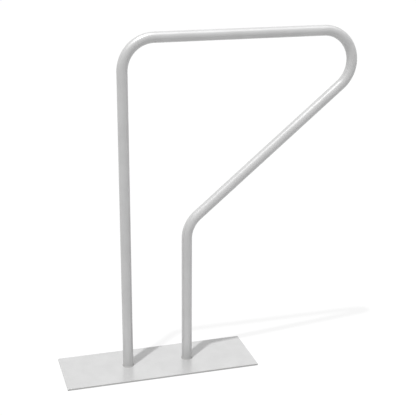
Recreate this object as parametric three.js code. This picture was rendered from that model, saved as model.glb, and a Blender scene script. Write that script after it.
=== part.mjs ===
// Hoop bike rack for streets and parks.
// One round steel tube is bent into a hoop that leans out past its short leg, and both of its ends are
// welded to a flat base plate, with a drain hole in the plate inside each end of the tube.
//
// Lengths are in millimetres and angles in degrees. +X runs along the hoop from the tall leg towards
// the overhang, +Y points to the back and +Z up. The origin is the middle of the plate's underside.

import * as THREE from 'three';

// Tube of the hoop
const TUBE_DIAMETER = 35;
const TUBE_WALL = 2.5;

// Axis of the hoop, which lies in one upright plane
const LEG_SPACING = 208.5; // from the tall leg's axis to the short leg's
const TOP_BAR_HEIGHT = 1116; // from the plate's top face to the top bar's axis
const HOOP_REACH = 773; // from the tall leg's axis to the axis at the tip of the overhang
const DIAGONAL_ANGLE = 40; // between the diagonal and the ground
const BEND_RADIUS = 103; // of the axis, in all three bends

// Base plate
const PLATE_LENGTH = 658;
const PLATE_WIDTH = 220;
const PLATE_THICKNESS = 6;
const PLATE_EDGE_BREAK = 0.5; // chamfer that takes the sharpness off every edge
const LEG_PAIR_OFFSET = 1; // from the plate's middle to the middle between the two legs
const DRAIN_HOLE_DIAMETER = 12;

// Small fillet weld round each foot
const WELD_LEG = 2; // its width along the plate and its height along the tube
const WELD_HOLLOW = 0.35; // how far the middle of its face dips in from a flat fillet
const ROOT_GAP = 0.3; // left between the pieces that the weld joins

// Silver-grey powder coat with fine aluminium flake, which lies duller over the ripples of a weld
const COAT_COLOUR = 0xd5d5d5;
const COAT_METALNESS = 0.45;
const SMOOTH_COAT_ROUGHNESS = 0.35;
const WELD_COAT_ROUGHNESS = 0.6;

// Fineness of the round shapes
const TUBE_SIDES = 28;
const BEND_STEP = 7.5; // largest angle between two rings of a bend
const HOLE_SIDES = 24;
const WELD_FACE_STEPS = 4;

const QUARTER_TURN = 90;
const HALF_TURN = 180;

const tubeRadius = TUBE_DIAMETER / 2;
const boreRadius = tubeRadius - TUBE_WALL;
const tallLegX = LEG_PAIR_OFFSET - LEG_SPACING / 2;
const shortLegX = LEG_PAIR_OFFSET + LEG_SPACING / 2;

// Powder-coated steel, of which only the coat shows.
function coatedSteel(roughness) {
  return new THREE.MeshStandardMaterial({ color: COAT_COLOUR, roughness, metalness: COAT_METALNESS });
}

// A circle as a closed path, centred on the X axis.
function circle(pathClass, x, radius) {
  const path = new pathClass();
  path.absarc(x, 0, radius, 0, 2 * Math.PI);
  return path;
}

// An arc is cut into twice as many sides as the number of segments asked for.
function segmentsFor(sides) {
  return sides / 2;
}

// The hoop's axis as a row of stations, each a place with the direction in which the axis passes it.
// A share of the path picks the station at that share of the row, so the rings of the tube lie exactly
// at both ends of every straight run and evenly round every bend.
class HoopAxis extends THREE.Curve {
  constructor(stations) {
    super();
    this.stations = stations;
  }

  get steps() {
    return this.stations.length - 1;
  }

  getPoint(share, target = new THREE.Vector3()) {
    return target.copy(this.stations[Math.round(share * this.steps)].place);
  }

  getTangent(share, target = new THREE.Vector3()) {
    return target.copy(this.stations[Math.round(share * this.steps)].direction);
  }

  getPointAt(share, target) {
    return this.getPoint(share, target);
  }

  getTangentAt(share, target) {
    return this.getTangent(share, target);
  }
}

// Length of straight axis that a bend takes up on each side of its sharp corner.
function cornerLength(turn) {
  return BEND_RADIUS * Math.tan(THREE.MathUtils.degToRad(turn) / 2);
}

// The runs and bends of the hoop in the order in which a tube bender makes them, from the foot of the
// tall leg to the foot of the short one. A bend to the right is negative.
function hoopRoute() {
  const slope = THREE.MathUtils.degToRad(DIAGONAL_ANGLE);
  const tipTurn = HALF_TURN - DIAGONAL_ANGLE;
  const kneeTurn = QUARTER_TURN - DIAGONAL_ANGLE;
  const tipCorner = HOOP_REACH - BEND_RADIUS + cornerLength(tipTurn);
  const diagonalSpan = tipCorner - LEG_SPACING;
  const kneeHeight = TOP_BAR_HEIGHT - diagonalSpan * Math.tan(slope);
  return [
    { run: TOP_BAR_HEIGHT - ROOT_GAP - cornerLength(QUARTER_TURN), turn: -QUARTER_TURN },
    { run: tipCorner - cornerLength(QUARTER_TURN) - cornerLength(tipTurn), turn: -tipTurn },
    { run: diagonalSpan / Math.cos(slope) - cornerLength(tipTurn) - cornerLength(kneeTurn), turn: kneeTurn },
    { run: kneeHeight - ROOT_GAP - cornerLength(kneeTurn), turn: 0 },
  ];
}

// Direction of the axis, and the direction to its left, at a heading measured up from +X.
function along(heading) {
  const angle = THREE.MathUtils.degToRad(heading);
  return new THREE.Vector3(Math.cos(angle), 0, Math.sin(angle));
}

function leftOf(heading) {
  return along(heading + QUARTER_TURN);
}

// Walks the route and sets a station at each end of a run and at each step round a bend.
function hoopStations() {
  let place = new THREE.Vector3(tallLegX, 0, PLATE_THICKNESS + ROOT_GAP);
  let heading = QUARTER_TURN;
  const stations = [{ place, direction: along(heading) }];
  for (const { run, turn } of hoopRoute()) {
    place = place.clone().addScaledVector(along(heading), run);
    stations.push({ place, direction: along(heading) });
    const towardsCentre = Math.sign(turn) * BEND_RADIUS;
    const centre = place.clone().addScaledVector(leftOf(heading), towardsCentre);
    const steps = Math.ceil(Math.abs(turn) / BEND_STEP);
    const startHeading = heading;
    for (let step = 1; step <= steps; step++) {
      heading = startHeading + (turn * step) / steps;
      place = centre.clone().addScaledVector(leftOf(heading), -towardsCentre);
      stations.push({ place, direction: along(heading) });
    }
  }
  return stations;
}

// The tube: a ring section swept along the hoop's axis, open at both feet.
function hoopTube() {
  const section = circle(THREE.Shape, 0, tubeRadius);
  section.holes.push(circle(THREE.Path, 0, boreRadius));
  const axis = new HoopAxis(hoopStations());
  const geometry = new THREE.ExtrudeGeometry(section, {
    steps: axis.steps,
    curveSegments: segmentsFor(TUBE_SIDES),
    extrudePath: axis,
  });
  const mesh = new THREE.Mesh(geometry, coatedSteel(SMOOTH_COAT_ROUGHNESS));
  mesh.name = 'hoop_tube';
  return mesh;
}

// The base plate: a rectangle with a drain hole inside each leg, and all its edges broken.
function basePlate() {
  const outline = new THREE.Shape();
  outline.moveTo(-PLATE_LENGTH / 2, -PLATE_WIDTH / 2);
  outline.lineTo(PLATE_LENGTH / 2, -PLATE_WIDTH / 2);
  outline.lineTo(PLATE_LENGTH / 2, PLATE_WIDTH / 2);
  outline.lineTo(-PLATE_LENGTH / 2, PLATE_WIDTH / 2);
  outline.closePath();
  for (const legX of [tallLegX, shortLegX]) {
    outline.holes.push(circle(THREE.Path, legX, DRAIN_HOLE_DIAMETER / 2));
  }
  const geometry = new THREE.ExtrudeGeometry(outline, {
    depth: PLATE_THICKNESS - 2 * PLATE_EDGE_BREAK,
    curveSegments: segmentsFor(HOLE_SIDES),
    bevelThickness: PLATE_EDGE_BREAK,
    bevelSize: PLATE_EDGE_BREAK,
    bevelOffset: -PLATE_EDGE_BREAK,
    bevelSegments: 1,
  });
  const mesh = new THREE.Mesh(geometry, coatedSteel(SMOOTH_COAT_ROUGHNESS));
  mesh.name = 'base_plate';
  mesh.position.z = PLATE_EDGE_BREAK;
  return mesh;
}

// One weld: a ring with a hollow-faced fillet section round the foot of a leg.
function footWeld(name, legX) {
  const innerRadius = tubeRadius + ROOT_GAP;
  const profile = [new THREE.Vector2(innerRadius, 0)];
  for (let step = 0; step <= WELD_FACE_STEPS; step++) {
    const share = step / WELD_FACE_STEPS;
    const dip = WELD_HOLLOW * Math.sin(Math.PI * share) * Math.SQRT1_2;
    profile.push(new THREE.Vector2(
      innerRadius + WELD_LEG * (1 - share) - dip,
      WELD_LEG * share - dip,
    ));
  }
  profile.push(new THREE.Vector2(innerRadius, 0));
  const geometry = new THREE.LatheGeometry(profile, TUBE_SIDES);
  geometry.rotateX(Math.PI / 2);
  const mesh = new THREE.Mesh(geometry, coatedSteel(WELD_COAT_ROUGHNESS));
  mesh.name = name;
  mesh.position.set(legX, 0, PLATE_THICKNESS + ROOT_GAP);
  return mesh;
}

const rack = new THREE.Group();
rack.add(
  basePlate(),
  hoopTube(),
  footWeld('weld_tall_leg', tallLegX),
  footWeld('weld_short_leg', shortLegX),
);

export default rack;
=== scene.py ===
"""Dresses a hoop bike rack: a bent steel tube on a flat base plate, powder coated in silver grey.

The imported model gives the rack's places and main sizes, in metres, with +X along the hoop from
the tall leg towards the overhang, +Y to the back and +Z up. The tube, the plate and both welds are
modelled again with smooth surfaces, and stand on a white studio floor under a high sun, an even sky
and a soft panel.
"""

import logging
import math
from abc import ABC, abstractmethod
from dataclasses import dataclass, field
from enum import Enum

import bpy
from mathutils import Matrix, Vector


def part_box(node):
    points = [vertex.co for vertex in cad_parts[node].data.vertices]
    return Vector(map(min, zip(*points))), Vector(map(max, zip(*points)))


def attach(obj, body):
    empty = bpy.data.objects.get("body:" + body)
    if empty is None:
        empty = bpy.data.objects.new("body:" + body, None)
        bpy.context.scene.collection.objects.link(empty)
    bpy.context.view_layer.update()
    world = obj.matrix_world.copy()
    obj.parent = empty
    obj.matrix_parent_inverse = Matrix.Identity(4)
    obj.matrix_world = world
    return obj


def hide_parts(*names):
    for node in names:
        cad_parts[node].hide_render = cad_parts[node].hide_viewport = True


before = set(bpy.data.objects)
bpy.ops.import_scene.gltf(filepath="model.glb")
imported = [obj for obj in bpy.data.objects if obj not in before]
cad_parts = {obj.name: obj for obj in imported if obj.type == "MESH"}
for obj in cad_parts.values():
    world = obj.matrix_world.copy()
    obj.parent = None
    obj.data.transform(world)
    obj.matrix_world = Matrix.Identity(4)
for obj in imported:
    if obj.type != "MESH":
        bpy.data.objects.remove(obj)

BODY = "root"
TALL_WELD = "weld_tall_leg"
SHORT_WELD = "weld_short_leg"

MM = 0.001
MERGE_DISTANCE = 0.001 * MM
FULL_TURN = 2 * math.pi
HALF_TURN = math.pi
QUARTER_TURN = math.pi / 2
# Sine and cosine of 45 degrees.
SLANT = math.sqrt(0.5)
# Faces that meet at less than this angle are shaded as one smooth surface.
SMOOTH_ANGLE = math.radians(40)

# Soft noise lies between these two values nearly everywhere.
NOISE_LOW = 0.3
NOISE_HIGH = 0.7
# Where a Mix node set to colours has its two colours and its result.
MIX_FIRST = 6
MIX_SECOND = 7
MIX_RESULT = 2

log = logging.getLogger("bike_rack")


def linear(hex_colour: str) -> tuple[float, float, float, float]:
    """Turns an sRGB hex colour into a linear colour with full alpha.

    Args:
        hex_colour: The colour as "#RRGGBB".

    Returns:
        Red, green, blue and alpha, each from 0 to 1.
    """
    shares = [int(hex_colour[i : i + 2], 16) / 255 for i in (1, 3, 5)]
    red, green, blue = (s / 12.92 if s <= 0.04045 else ((s + 0.055) / 1.055) ** 2.4 for s in shares)
    return red, green, blue, 1.0


def add_node(
    tree: bpy.types.NodeTree, kind: str, sockets: dict | None = None, **settings: object
) -> bpy.types.Node:
    """Adds one node to a tree, with its settings, its values and its links.

    Args:
        tree: The node tree to add to.
        kind: The node's type, such as "ShaderNodeBump".
        sockets: Input names or numbers, each with a value or with the output socket to link from.
        **settings: The node's own properties.

    Returns:
        The new node.
    """
    node = tree.nodes.new(kind)
    for name, value in settings.items():
        setattr(node, name, value)
    for key, value in (sockets or {}).items():
        if isinstance(value, bpy.types.NodeSocket):
            tree.links.new(value, node.inputs[key])
        else:
            node.inputs[key].default_value = value
    return node


def new_tree(owner: bpy.types.Material | bpy.types.World) -> bpy.types.NodeTree:
    """Gives a material or a world an empty node tree.

    Args:
        owner: The material or world.

    Returns:
        Its node tree.
    """
    owner.use_nodes = True
    owner.node_tree.nodes.clear()
    return owner.node_tree


def middle_x(node: str) -> float:
    """Gives the middle of a node's box along the hoop.

    Args:
        node: The node's name.

    Returns:
        Its X, in metres.
    """
    low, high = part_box(node)
    return (low.x + high.x) / 2


def start_piece(name: str) -> bpy.types.Object:
    """Names the primitive that was just added, applies its place and opens it, all of it selected.

    Args:
        name: The piece's name.

    Returns:
        The piece, in edit mode.
    """
    piece = bpy.context.object
    piece.name = name
    piece.data.name = name
    bpy.ops.object.transform_apply(location=True, rotation=True, scale=True)
    bpy.ops.object.mode_set(mode="EDIT")
    bpy.ops.mesh.select_mode(type="VERT")
    bpy.ops.mesh.select_all(action="SELECT")
    return piece


def clean_shell() -> None:
    """Merges the doubles of the open piece, points its faces outwards and leaves edit mode."""
    bpy.ops.mesh.select_all(action="SELECT")
    bpy.ops.mesh.remove_doubles(threshold=MERGE_DISTANCE)
    bpy.ops.mesh.normals_make_consistent(inside=False)
    bpy.ops.object.mode_set(mode="OBJECT")


def finish_with(piece: bpy.types.Object, kind: str, **settings: object) -> None:
    """Adds a modifier to a piece and applies it.

    Args:
        piece: The piece, which is the active object.
        kind: The modifier's type, such as "BEVEL".
        **settings: The modifier's own properties.
    """
    modifier = piece.modifiers.new(kind.title(), kind)
    for name, value in settings.items():
        setattr(modifier, name, value)
    bpy.ops.object.modifier_apply(modifier=modifier.name)


def select_vertices(piece: bpy.types.Object, chosen: set[int]) -> None:
    """Selects the given vertices of the open piece and nothing else.

    Args:
        piece: The piece, in edit mode.
        chosen: The numbers of the vertices.
    """
    bpy.ops.mesh.select_mode(type="VERT")
    bpy.ops.mesh.select_all(action="DESELECT")
    bpy.ops.object.mode_set(mode="OBJECT")
    for vertex in piece.data.vertices:
        vertex.select = vertex.index in chosen
    bpy.ops.object.mode_set(mode="EDIT")


class Ground(Enum):
    """Kinds of steel under the powder coat, by how each was made."""

    TUBE = "drawn tube"
    PLATE = "rolled plate"
    WELD = "weld metal"


@dataclass(frozen=True)
class PowderCoat:
    """Polyester powder coat, sprayed dry and baked into a satin skin about 0.1 mm thick.

    Baking leaves a fine orange peel that breaks up the gloss, and the powder lies a little thinner
    in places, which shows as soft clouds of a slightly darker grey.
    """

    ground: Ground
    slot: str
    colour: str = "#D5D5D5"
    # The clouds of thinner powder: fine specks break them up, and they show where the noise is high.
    thin_colour: str = "#D0D0D0"
    cloud_width: float = 70 * MM
    speck_width: float = 0.6 * MM
    speck_share: float = 0.25
    thin_from: float = 0.45
    thin_to: float = 0.85
    # Share of aluminium flake among the pigment, which gives the broad sheen.
    flake_share: float = 0.45
    flake_swing_share: float = 0.1
    # Real flakes are 0.03 mm across. They are drawn in clumps, which show as a faint grain close by.
    flake_width: float = 0.5 * MM
    roughness: float = 0.38
    roughness_swing: float = 0.04
    # The clear resin over the flakes, which mirrors the surroundings softly at a low angle.
    skin_share: float = 0.7
    skin_roughness: float = 0.15
    skin_ior: float = 1.5
    # Real peel is 1 to 3 mm wide and a few thousandths of a millimetre high.
    peel_width: float = 2.4 * MM
    peel_height: float = 0.006 * MM
    # The steel's own unevenness under the coat, wide and shallow.
    wave_width: float = 30 * MM
    wave_height: float = 0.012 * MM
    # Painted shade near the ground, darkest at the plate and gone at its full height, which stands in for
    # the contact shade there. The power makes it thin fast.
    painted_shade_colour: str = "#8C8B89"
    foot_shade_share: float = 0.0
    foot_shade_height: float = 100 * MM
    foot_shade_power: float = 3.0
    # How far the specks make the painted shade thicker or thinner.
    patchy_share: float = 0.4
    # Painted shade on faces that look sideways, darker as less light falls on them. A face with this much
    # up or down in its normal has none.
    side_shade_share: float = 0.0
    level_from: float = 0.7

    def material(self) -> bpy.types.Material:
        """Builds the coat's material.

        Returns:
            The material, which reads Object coordinates in metres.
        """
        made = bpy.data.materials.new(f"powder_coat_on_{self.ground.value.replace(' ', '_')}")
        tree = new_tree(made)
        on_piece = add_node(tree, "ShaderNodeTexCoord").outputs
        place = on_piece["Object"]
        relief = self._relief(tree, place)
        surface = add_node(
            tree,
            "ShaderNodeBsdfPrincipled",
            {
                "Base Color": self._colour(tree, place, on_piece["Normal"]),
                "Metallic": self._flakes(tree, place),
                "Roughness": self._gloss(tree, place),
                # The pigment between the flakes is matt: only the flakes and the resin mirror.
                "Specular IOR Level": 0.0,
                "Coat Weight": self.skin_share,
                "Coat Roughness": self.skin_roughness,
                "Coat IOR": self.skin_ior,
                "Coat Normal": relief,
                "Normal": relief,
            },
        ).outputs["BSDF"]
        add_node(tree, "ShaderNodeOutputMaterial", {"Surface": surface})
        return made

    def _colour(
        self, tree: bpy.types.NodeTree, place: bpy.types.NodeSocket, normal: bpy.types.NodeSocket
    ) -> bpy.types.NodeSocket:
        """Clouds the coat's grey where the powder is thinner, and paints shade on it.

        Args:
            tree: The node tree.
            place: The coordinates, in metres.
            normal: The direction that the surface faces.

        Returns:
            The colour.
        """
        clouds = self._noise(tree, place, self.cloud_width, detail=3.0)
        specks = self._noise(tree, place, self.speck_width, detail=1.0)
        tone = add_node(
            tree,
            "ShaderNodeMath",
            {0: specks, 1: self.speck_share, 2: clouds},
            operation="MULTIPLY_ADD",
        ).outputs[0]
        thinness = add_node(
            tree,
            "ShaderNodeMapRange",
            {"Value": tone, "From Min": self.thin_from, "From Max": self.thin_to},
            interpolation_type="SMOOTHSTEP",
        ).outputs["Result"]
        unshaded = add_node(
            tree,
            "ShaderNodeMix",
            {"Factor": thinness, MIX_FIRST: linear(self.colour), MIX_SECOND: linear(self.thin_colour)},
            data_type="RGBA",
        ).outputs[MIX_RESULT]
        return self._paint_shade(tree, unshaded, place, normal, specks)

    def _paint_shade(
        self,
        tree: bpy.types.NodeTree,
        unshaded: bpy.types.NodeSocket,
        place: bpy.types.NodeSocket,
        normal: bpy.types.NodeSocket,
        specks: bpy.types.NodeSocket,
    ) -> bpy.types.NodeSocket:
        """Paints shade over the lowest part of the piece and over its faces that look sideways.

        Args:
            tree: The node tree.
            unshaded: The coat's colour before its painted shade.
            place: The coordinates, in metres.
            normal: The direction that the surface faces.
            specks: Fine noise that breaks up the painted shade.

        Returns:
            The colour with its painted shade.
        """
        # Painted shade: darker towards the plate, standing in for the contact shade near the ground.
        height = add_node(tree, "ShaderNodeSeparateXYZ", {0: place}).outputs["Z"]
        low_down = add_node(
            tree,
            "ShaderNodeMapRange",
            {"Value": height, "From Max": self.foot_shade_height, "To Min": 1.0, "To Max": 0.0},
        ).outputs["Result"]
        thinning = add_node(
            tree, "ShaderNodeMath", {0: low_down, 1: self.foot_shade_power}, operation="POWER"
        ).outputs[0]
        # Painted shade on faces that look sideways, such as the plate's edges, darker as less light falls
        # on them.
        facing_up = add_node(tree, "ShaderNodeSeparateXYZ", {0: normal}).outputs["Z"]
        level = add_node(tree, "ShaderNodeMath", {0: facing_up}, operation="ABSOLUTE").outputs[0]
        on_side = add_node(
            tree,
            "ShaderNodeMapRange",
            {"Value": level, "From Max": self.level_from, "To Min": self.side_shade_share, "To Max": 0.0},
            interpolation_type="SMOOTHSTEP",
        ).outputs["Result"]
        shade_film = add_node(
            tree,
            "ShaderNodeMath",
            {0: thinning, 1: self.foot_shade_share, 2: on_side},
            operation="MULTIPLY_ADD",
        ).outputs[0]
        patches = add_node(
            tree,
            "ShaderNodeMapRange",
            {"Value": specks, "To Min": 1 - self.patchy_share, "To Max": 1 + self.patchy_share},
        ).outputs["Result"]
        shade_mix_share = add_node(
            tree, "ShaderNodeMath", {0: shade_film, 1: patches}, operation="MULTIPLY", use_clamp=True
        ).outputs[0]
        return add_node(
            tree,
            "ShaderNodeMix",
            {"Factor": shade_mix_share, MIX_FIRST: unshaded, MIX_SECOND: linear(self.painted_shade_colour)},
            data_type="RGBA",
        ).outputs[MIX_RESULT]

    def _flakes(self, tree: bpy.types.NodeTree, place: bpy.types.NodeSocket) -> bpy.types.NodeSocket:
        """Gives each clump of flakes a share of metal of its own.

        Args:
            tree: The node tree.
            place: The coordinates, in metres.

        Returns:
            The share of metal.
        """
        clumps = add_node(tree, "ShaderNodeTexVoronoi", {"Vector": place, "Scale": 1 / self.flake_width})
        return add_node(
            tree,
            "ShaderNodeMapRange",
            {
                "Value": clumps.outputs["Color"],
                "To Min": self.flake_share - self.flake_swing_share,
                "To Max": self.flake_share + self.flake_swing_share,
            },
        ).outputs["Result"]

    def _gloss(self, tree: bpy.types.NodeTree, place: bpy.types.NodeSocket) -> bpy.types.NodeSocket:
        """Lets the roughness wander a little with the steel under the coat.

        Args:
            tree: The node tree.
            place: The coordinates, in metres.

        Returns:
            The roughness.
        """
        return add_node(
            tree,
            "ShaderNodeMapRange",
            {
                "Value": self._noise(tree, place, self.wave_width, detail=4.0),
                "From Min": NOISE_LOW,
                "From Max": NOISE_HIGH,
                "To Min": self.roughness - self.roughness_swing,
                "To Max": self.roughness + self.roughness_swing,
            },
        ).outputs["Result"]

    def _relief(self, tree: bpy.types.NodeTree, place: bpy.types.NodeSocket) -> bpy.types.NodeSocket:
        """Lays the fine orange peel over the steel's slow waves.

        Args:
            tree: The node tree.
            place: The coordinates, in metres.

        Returns:
            The direction that the uneven surface faces.
        """
        wave = add_node(
            tree,
            "ShaderNodeBump",
            {"Height": self._noise(tree, place, self.wave_width, detail=0.0), "Distance": self.wave_height},
        ).outputs["Normal"]
        return add_node(
            tree,
            "ShaderNodeBump",
            {
                "Height": self._noise(tree, place, self.peel_width, detail=1.0),
                "Distance": self.peel_height,
                "Normal": wave,
            },
        ).outputs["Normal"]

    @staticmethod
    def _noise(
        tree: bpy.types.NodeTree, place: bpy.types.NodeSocket, width: float, detail: float
    ) -> bpy.types.NodeSocket:
        """Adds soft noise whose blots have a real width.

        Args:
            tree: The node tree.
            place: The coordinates, in metres.
            width: The blots' width, in metres.
            detail: How many finer layers lie on them.

        Returns:
            The noise, about 0.5 on average.
        """
        sockets = {"Vector": place, "Scale": 1 / width, "Detail": detail}
        return add_node(tree, "ShaderNodeTexNoise", sockets).outputs["Fac"]


@dataclass
class Piece(ABC):
    """What every sub-assembly has: the node that it stands for, and its coat."""

    node: str
    coat: PowderCoat

    @abstractmethod
    def build(self) -> bpy.types.Object:
        """Models the piece.

        Returns:
            The piece, in its place.
        """

    def make(self) -> None:
        """Builds the piece, dresses it, puts it in its node's place and reports it."""
        bpy.ops.object.select_all(action="DESELECT")
        made = self.build()
        bpy.ops.object.shade_smooth_by_angle(angle=SMOOTH_ANGLE)
        made.data.materials.clear()
        made.data.materials.append(self.coat.material())
        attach(made, BODY)
        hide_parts(self.node)
        log.info("%s: %d faces", made.name, len(made.data.polygons))


@dataclass
class Hoop(Piece):
    """The bent tube, from the foot of the tall leg over the top bar to the foot of the short leg."""

    wall: float = 2.5 * MM
    bend_radius: float = 103 * MM
    # Between the diagonal and the ground.
    slope: float = math.radians(40)
    sides: int = 72
    bend_step: float = math.radians(2.5)
    radius: float = field(init=False)
    foot: Vector = field(init=False)
    reach: float = field(init=False)
    rise: float = field(init=False)
    leg_spacing: float = field(init=False)

    def __post_init__(self) -> None:
        """Takes the tube's size and the hoop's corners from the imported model."""
        low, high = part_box(self.node)
        self.radius = (high.y - low.y) / 2
        self.foot = Vector((low.x + self.radius, 0, low.z))
        self.reach = high.x - self.radius - self.foot.x
        self.rise = high.z - self.radius - self.foot.z
        self.leg_spacing = middle_x(SHORT_WELD) - self.foot.x

    def corner(self, turn: float) -> float:
        """Gives the straight length that a bend takes up on each side of its sharp corner.

        Args:
            turn: The bend's angle, in radians.

        Returns:
            The length, in metres.
        """
        return self.bend_radius * math.tan(turn / 2)

    def route(self) -> list[tuple[float, float]]:
        """Works out the straight runs and the bends in the order in which the tube is bent.

        Returns:
            Each run's length with the bend that follows it, positive to the right.
        """
        tip_turn = HALF_TURN - self.slope
        knee_turn = QUARTER_TURN - self.slope
        tip_corner = self.reach - self.bend_radius + self.corner(tip_turn)
        span = tip_corner - self.leg_spacing
        knee_height = self.rise - span * math.tan(self.slope)
        top_run = tip_corner - self.corner(QUARTER_TURN) - self.corner(tip_turn)
        diagonal_run = span / math.cos(self.slope) - self.corner(tip_turn) - self.corner(knee_turn)
        return [
            (self.rise - self.corner(QUARTER_TURN), QUARTER_TURN),
            (top_run, tip_turn),
            (diagonal_run, -knee_turn),
            (knee_height - self.corner(knee_turn), 0.0),
        ]

    def build(self) -> bpy.types.Object:
        """Draws one ring out along the route: an extrusion for each run and a spin for each bend.

        Returns:
            The hollow tube.
        """
        bpy.ops.mesh.primitive_circle_add(vertices=self.sides, radius=self.radius, location=self.foot)
        tube = start_piece("hoop")
        place = self.foot.copy()
        heading = QUARTER_TURN
        for run, turn in self.route():
            ahead = Vector((math.cos(heading), 0, math.sin(heading)))
            step = ahead * run
            bpy.ops.mesh.extrude_region_move(TRANSFORM_OT_translate={"value": step})
            place += step
            if turn:
                place = self.bend(place, ahead, turn)
                heading -= turn
        clean_shell()
        finish_with(tube, "SOLIDIFY", thickness=self.wall, offset=-1.0, use_even_offset=True)
        return tube

    def bend(self, place: Vector, ahead: Vector, turn: float) -> Vector:
        """Spins the last ring round one bend.

        Args:
            place: The ring's centre.
            ahead: The direction of the axis there.
            turn: The bend's angle, positive to the right.

        Returns:
            The centre of the ring at the bend's end.
        """
        to_right = Vector((ahead.z, 0, -ahead.x)) * math.copysign(self.bend_radius, turn)
        centre = place + to_right
        bpy.ops.mesh.spin(
            steps=math.ceil(abs(turn) / self.bend_step),
            angle=-turn,
            center=centre,
            axis=(0, 1, 0),
        )
        across = -to_right
        cos, sin = math.cos(turn), math.sin(turn)
        turned = Vector((across.x * cos + across.z * sin, 0, across.z * cos - across.x * sin))
        return centre + turned


@dataclass
class BasePlate(Piece):
    """The flat plate, with its edges rounded by the coat and a drain hole inside each leg."""

    hole_radius: float = 6 * MM
    hole_sides: int = 48
    edge_radius: float = 0.4 * MM
    edge_steps: int = 3
    # Faces that meet at more than this angle have a rounded edge between them.
    edge_angle: float = math.radians(30)
    # Narrow border of the top and the underside, which keeps the edges' roundness off the rest.
    margin: float = 1.5 * MM
    # A face of the top or the underside has at least this much up or down in its normal.
    flat_from: float = 0.999

    def build(self) -> bpy.types.Object:
        """Cuts the drain holes out of a slab, rounds every edge and keeps the flat faces flat.

        Returns:
            The plate.
        """
        low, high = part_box(self.node)
        bpy.ops.mesh.primitive_cube_add(size=1, location=(low + high) / 2, scale=high - low)
        plate = start_piece("plate")
        bpy.ops.object.mode_set(mode="OBJECT")
        for weld in (TALL_WELD, SHORT_WELD):
            self.drill(plate, (middle_x(weld), 0, high.z / 2), depth=2 * high.z)
        finish_with(
            plate,
            "BEVEL",
            width=self.edge_radius,
            segments=self.edge_steps,
            limit_method="ANGLE",
            angle_limit=self.edge_angle,
        )
        self.flatten(plate)
        return plate

    def drill(self, plate: bpy.types.Object, centre: tuple[float, float, float], depth: float) -> None:
        """Drills one round hole through the plate.

        Args:
            plate: The plate.
            centre: The middle of the drill.
            depth: The drill's length, which runs past both faces.
        """
        bpy.ops.mesh.primitive_cylinder_add(
            vertices=self.hole_sides, radius=self.hole_radius, depth=depth, location=centre
        )
        drill = bpy.context.object
        bpy.context.view_layer.objects.active = plate
        finish_with(plate, "BOOLEAN", operation="DIFFERENCE", object=drill, solver="EXACT")
        bpy.data.objects.remove(drill)
        bpy.ops.object.select_all(action="DESELECT")
        plate.select_set(True)

    def flatten(self, plate: bpy.types.Object) -> None:
        """Insets the top and the underside, so that they are shaded flat up to their borders.

        Args:
            plate: The plate.
        """
        bpy.ops.object.mode_set(mode="EDIT")
        bpy.ops.mesh.select_mode(type="FACE")
        bpy.ops.mesh.select_all(action="DESELECT")
        bpy.ops.object.mode_set(mode="OBJECT")
        for face in plate.data.polygons:
            face.select = abs(face.normal.z) > self.flat_from
        bpy.ops.object.mode_set(mode="EDIT")
        bpy.ops.mesh.inset(thickness=self.margin, depth=0, use_even_offset=True)
        bpy.ops.object.mode_set(mode="OBJECT")


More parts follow.
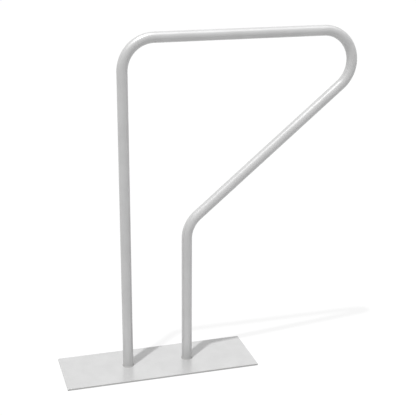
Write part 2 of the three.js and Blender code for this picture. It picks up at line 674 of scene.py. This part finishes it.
@dataclass
class FootWeld(Piece):
    """One fillet weld: a small hollow bead laid round the foot of a leg, in even ripples."""

    name: str
    leg: float = 2 * MM
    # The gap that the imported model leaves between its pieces. The bead fills it.
    root: float = 0.3 * MM
    # How far the middle of the face lies in from the straight line between its two toes.
    hollow: float = 0.4 * MM
    # How deep the bead's back lies in the tube and the plate, so that no slit shows.
    bury: float = 0.05 * MM
    face_steps: int = 6
    # The face's bevel takes nearly all of both sides, and leaves each toe a point of its own.
    bevel_percent: float = 98
    # Points nearer to the tube or the plate than this share of the bead's side are its back.
    back_share: float = 0.01
    ripples: int = 84
    rings_per_ripple: int = 4
    ripple_height: float = 0.16 * MM
    ripple_lag: float = 0.6 * MM
    # Points this close to the bead's back keep their place when a ripple is raised.
    still_width: float = 0.25 * MM

    def build(self) -> bpy.types.Object:
        """Shapes one ripple from a small square and copies it round the leg.

        Returns:
            The bead.
        """
        low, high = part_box(self.node)
        centre = Vector((middle_x(self.node), 0, low.z - self.root))
        tube_radius = (high.x - low.x) / 2 - self.leg - self.root
        side = self.leg + self.root + self.bury
        middle = centre + Vector((tube_radius - self.bury + side / 2, 0, side / 2 - self.bury))
        bpy.ops.mesh.primitive_plane_add(size=side, location=middle, rotation=(QUARTER_TURN, 0, 0))
        bead = start_piece(self.name)
        self.shape_section(bead, middle, side)
        pitch = FULL_TURN / self.ripples
        self.sweep_ripple(bead, centre, pitch)
        bpy.ops.mesh.select_all(action="SELECT")
        bpy.ops.mesh.spin(
            steps=self.ripples - 1,
            dupli=True,
            angle=FULL_TURN - pitch,
            center=centre,
            axis=(0, 0, 1),
        )
        clean_shell()
        return bead

    def shape_section(self, bead: bpy.types.Object, middle: Vector, side: float) -> None:
        """Turns the square into the bead's section: a triangle with a hollow face that lags behind.

        Args:
            bead: The square, open in edit mode.
            middle: The square's middle.
            side: The square's side.
        """
        bpy.ops.mesh.delete(type="ONLY_FACE")
        outer = {v.index for v in bead.data.vertices if v.co.x > middle.x and v.co.z > middle.z}
        select_vertices(bead, outer)
        # The outer corner goes back to the line between the toes, and on to where the tangents at
        # both ends of the hollow arc meet. The bevel then draws the arc.
        half_face = side * SLANT
        dip = half_face * math.tan(2 * math.atan(self.hollow / half_face))
        pull = -side / 2 - dip * SLANT
        bpy.ops.transform.translate(value=(pull, 0, pull))
        bpy.ops.mesh.bevel(
            offset_type="PERCENT",
            offset_pct=self.bevel_percent,
            segments=self.face_steps,
            affect="VERTICES",
        )
        bpy.ops.object.mode_set(mode="OBJECT")
        face = self.face_vertices(bead, middle, side)
        bpy.ops.object.mode_set(mode="EDIT")
        for index, share in face.items():
            select_vertices(bead, {index})
            lag = self.ripple_lag * math.sin(math.pi * share)
            bpy.ops.transform.translate(value=(0, -lag, 0))

    def face_vertices(self, bead: bpy.types.Object, middle: Vector, side: float) -> dict[int, float]:
        """Finds the vertices of the section's face between its toes.

        Args:
            bead: The section, in object mode.
            middle: The middle of the square that it came from.
            side: That square's side.

        Returns:
            Each vertex's number, with its share of the way up the face.
        """
        found = {}
        for vertex in bead.data.vertices:
            across_share = (vertex.co.x - middle.x) / side + 0.5
            up_share = (vertex.co.z - middle.z) / side + 0.5
            if min(across_share, up_share) > self.back_share:
                found[vertex.index] = (up_share - across_share + 1) / 2
        return found

    def sweep_ripple(self, bead: bpy.types.Object, centre: Vector, pitch: float) -> None:
        """Spins the section through one ripple and raises the rings in its middle.

        Args:
            bead: The section, open in edit mode.
            centre: The leg's centre on the plate.
            pitch: The ripple's share of a turn, in radians.
        """
        bpy.ops.object.mode_set(mode="OBJECT")
        section = bead.data.vertices
        ring_size = len(section)
        inner = min(v.co.x for v in section) + self.still_width
        lower = min(v.co.z for v in section) + self.still_width
        face = {v.index for v in section if v.co.x > inner and v.co.z > lower}
        bpy.ops.object.mode_set(mode="EDIT")
        bpy.ops.mesh.select_all(action="SELECT")
        bpy.ops.mesh.spin(steps=self.rings_per_ripple, angle=pitch, center=centre, axis=(0, 0, 1))
        for ring in range(1, self.rings_per_ripple):
            share = ring / self.rings_per_ripple
            select_vertices(bead, {index + ring * ring_size for index in face})
            lift = self.ripple_height * math.sin(math.pi * share) * SLANT
            outward = Vector((math.cos(pitch * share), math.sin(pitch * share), 1))
            bpy.ops.transform.translate(value=outward * lift)


@dataclass(frozen=True)
class Studio:
    """White floor and even white sky, a small high sun from the front left and a soft panel overhead."""

    floor_size: float = 60.0
    # Share of the light that the floor throws back: to the eye and to reflections, and to the rack.
    floor_seen_share: float = 0.96
    floor_bounce_share: float = 0.35
    # Share of the floor's own shading in what is seen of it, which leaves a faint shadow on white.
    shadow_share: float = 0.12
    floor_glow: float = 1.02
    sky_strength: float = 0.175
    sun_strength: float = 2.68
    # Where the sun stands, from the slant of the legs' shadows on the plate.
    sun_from: tuple[float, float, float] = (-0.2135, -0.2005, 1.0)
    sun_width: float = math.radians(1.8)
    # Share of the sun that the gloss mirrors. The rest only lights the rack and casts shadows.
    mirrored_share: float = 0.6
    # The soft panel over the rack. A glow of 1 is as bright as the white sky.
    panel_height: float = 6.0
    panel_offset: tuple[float, float] = (-0.28, -0.74)
    panel_size: tuple[float, float] = (12.0, 2.6)
    panel_glow: float = 0.87

    def build(self) -> None:
        """Makes the floor, the sky, the sun and the panel."""
        self.lay_floor()
        self.light_sky()
        self.hang_sun()
        self.hang_panel()

    @staticmethod
    def seen_or_mirrored(tree: bpy.types.NodeTree) -> bpy.types.NodeSocket:
        """Tells the rays that look at the background from those that light the rack.

        Args:
            tree: The node tree.

        Returns:
            1 for a ray from the camera, a reflection or a transmission, and 0 for any other.
        """
        path = add_node(tree, "ShaderNodeLightPath").outputs
        mirrored = add_node(
            tree,
            "ShaderNodeMath",
            {0: path["Is Glossy Ray"], 1: path["Is Transmission Ray"]},
            operation="ADD",
        )
        return add_node(
            tree,
            "ShaderNodeMath",
            {0: path["Is Camera Ray"], 1: mirrored.outputs[0]},
            operation="ADD",
            use_clamp=True,
        ).outputs[0]

    def lay_floor(self) -> None:
        """Lays the floor: plain white to the eye, and matt white to the light that it throws back."""
        bpy.ops.mesh.primitive_plane_add(size=self.floor_size)
        floor = bpy.context.object
        floor.name = "floor"
        made = bpy.data.materials.new("white_floor")
        tree = new_tree(made)
        seen = self.seen_or_mirrored(tree)
        paleness = add_node(
            tree,
            "ShaderNodeMapRange",
            {"Value": seen, "To Min": self.floor_bounce_share, "To Max": self.floor_seen_share},
        )
        matt = add_node(tree, "ShaderNodeBsdfDiffuse", {"Color": paleness.outputs[0]})
        white = add_node(tree, "ShaderNodeEmission", {"Strength": self.floor_glow})
        white_share = add_node(
            tree,
            "ShaderNodeMath",
            {0: seen, 1: 1 - self.shadow_share},
            operation="MULTIPLY",
        )
        mixed = add_node(
            tree,
            "ShaderNodeMixShader",
            {0: white_share.outputs[0], 1: matt.outputs[0], 2: white.outputs[0]},
        )
        add_node(tree, "ShaderNodeOutputMaterial", {"Surface": mixed.outputs[0]})
        floor.data.materials.append(made)

    def light_sky(self) -> None:
        """Lights the sky: white where it is seen or mirrored, and dimmer where it lights."""
        world = bpy.data.worlds.new("even_sky")
        bpy.context.scene.world = world
        tree = new_tree(world)
        strength = add_node(
            tree,
            "ShaderNodeMapRange",
            {"Value": self.seen_or_mirrored(tree), "To Min": self.sky_strength, "To Max": 1.0},
        )
        sockets = {"Color": linear("#FFFFFF"), "Strength": strength.outputs[0]}
        sky = add_node(tree, "ShaderNodeBackground", sockets)
        add_node(tree, "ShaderNodeOutputWorld", {"Surface": sky.outputs[0]})

    def hang_sun(self) -> None:
        """Hangs the sun in its direction, as two lamps of which only one shows in reflections."""
        for mirrored, share in ((True, self.mirrored_share), (False, 1 - self.mirrored_share)):
            bpy.ops.object.light_add(type="SUN")
            sun = bpy.context.object
            sun.name = "sun_mirrored" if mirrored else "sun_unmirrored"
            sun.visible_glossy = mirrored
            sun.data.energy = self.sun_strength * share
            sun.data.angle = self.sun_width
            sun.rotation_euler = Vector(self.sun_from).to_track_quat("Z", "Y").to_euler()

    def hang_panel(self) -> None:
        """Hangs the soft panel level over the rack, long side along the hoop."""
        bpy.ops.object.light_add(type="AREA", location=(*self.panel_offset, self.panel_height))
        panel = bpy.context.object
        panel.name = "soft_panel"
        panel.data.shape = "RECTANGLE"
        panel.data.size, panel.data.size_y = self.panel_size
        # The glow of an area lamp is its power, divided by its area and by pi.
        panel.data.energy = self.panel_glow * math.pi * math.prod(self.panel_size)


@dataclass(frozen=True)
class PhotoCamera:
    """The camera where the photograph was taken, found from the rack's own edges."""

    place: tuple[float, float, float] = (-0.6873, -2.8207, 1.5512)
    yaw: float = math.radians(15.57)
    dip: float = math.radians(18.75)
    lens_mm: float = 81.06
    sensor_mm: float = 36.0
    # How far the picture lies beside the lens's axis, as a share of the picture's width.
    shift_share: float = 0.0555

    def build(self) -> None:
        """Makes the camera and gives it to the scene."""
        bpy.ops.object.camera_add(location=self.place, rotation=(QUARTER_TURN - self.dip, 0, -self.yaw))
        camera = bpy.context.object
        camera.data.lens = self.lens_mm
        camera.data.sensor_width = self.sensor_mm
        camera.data.shift_x = self.shift_share
        bpy.context.scene.camera = camera


def rack_pieces() -> list[Piece]:
    """Lists the rack's pieces, each with its coat.

    Returns:
        The pieces, in the order in which they are built.
    """
    # The plate's sideways faces get painted shade.
    plate_coat = PowderCoat(Ground.PLATE, "plate_coat", side_shade_share=0.35)
    # The hoop gets painted shade near the plate, standing in for the contact shade at its feet.
    hoop_coat = PowderCoat(Ground.TUBE, "hoop_coat", foot_shade_share=0.42)
    weld_coat = PowderCoat(
        Ground.WELD,
        "weld_coat",
        # Finer specks than on the smooth pieces, so that they don't hide the bead's ripples.
        speck_width=0.2 * MM,
        flake_share=0.15,
        roughness=0.6,
        skin_roughness=0.6,
        peel_height=0.003 * MM,
        # Painted shade that darkens the beads in the crease at each leg's foot.
        foot_shade_share=0.8,
    )
    return [
        BasePlate("base_plate", plate_coat),
        Hoop("hoop_tube", hoop_coat),
        FootWeld(TALL_WELD, weld_coat, name="bead_tall_leg"),
        FootWeld(SHORT_WELD, weld_coat, name="bead_short_leg"),
    ]


def main() -> None:
    """Builds the rack and its studio."""
    logging.basicConfig(level=logging.INFO, format="%(name)s %(message)s")
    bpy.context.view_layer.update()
    bpy.context.scene.view_settings.view_transform = "Standard"
    for piece in rack_pieces():
        piece.make()
    Studio().build()
    PhotoCamera().build()


if __name__ == "__main__":
    main()
